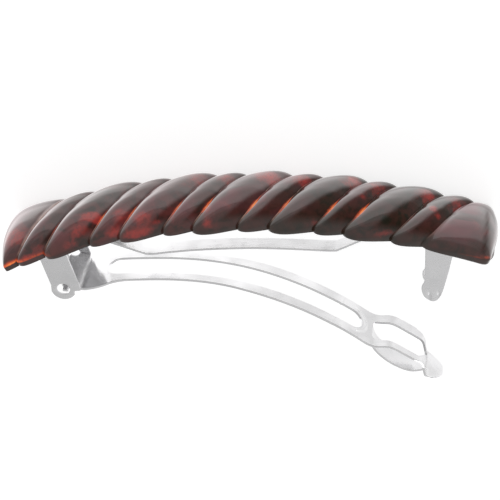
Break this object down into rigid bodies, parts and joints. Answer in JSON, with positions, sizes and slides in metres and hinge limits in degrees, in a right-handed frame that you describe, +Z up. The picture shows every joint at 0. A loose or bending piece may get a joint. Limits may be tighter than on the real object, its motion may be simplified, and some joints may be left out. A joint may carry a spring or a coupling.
{
  "type": "hair clip",
  "caption": "Rope-carved tortoiseshell acetate hair clip with a steel clasp: a hinged closing arm snaps over catch legs and a bowed spring holds the hair.",
  "frame": {"origin": "middle of the footprint of the clip as it lies on its rear long side with the arm part open, on the surface it rests on", "axes": "+X along the bar from the hinge end to the catch end, +Y towards the domed face, +Z up towards the front long side"},
  "size_m": [0.092, 0.045, 0.0168],
  "materials": {
    "tortoiseshell_acetate": "polished acetate, near-black brown with red and amber patches",
    "stamped_steel": "plated steel sheet, satin",
    "spring_steel": "plated spring steel strip",
    "polished_steel": "bright plated steel sheet"
  },
  "bodies": {
    "bar": {"rope_bar": "tortoiseshell_acetate", "base_plate": "stamped_steel", "spring_bow": "spring_steel"},
    "arm": {"closing_arm": "polished_steel"}
  },
  "joints": [
    {"name": "arm_hinge", "type": "hinge", "parent": "bar", "child": "arm", "pos_m": [-0.0345, 0.0034, 0.0081], "axis": [0, 0, -1], "range_deg": [-14, 46]}
  ]
}
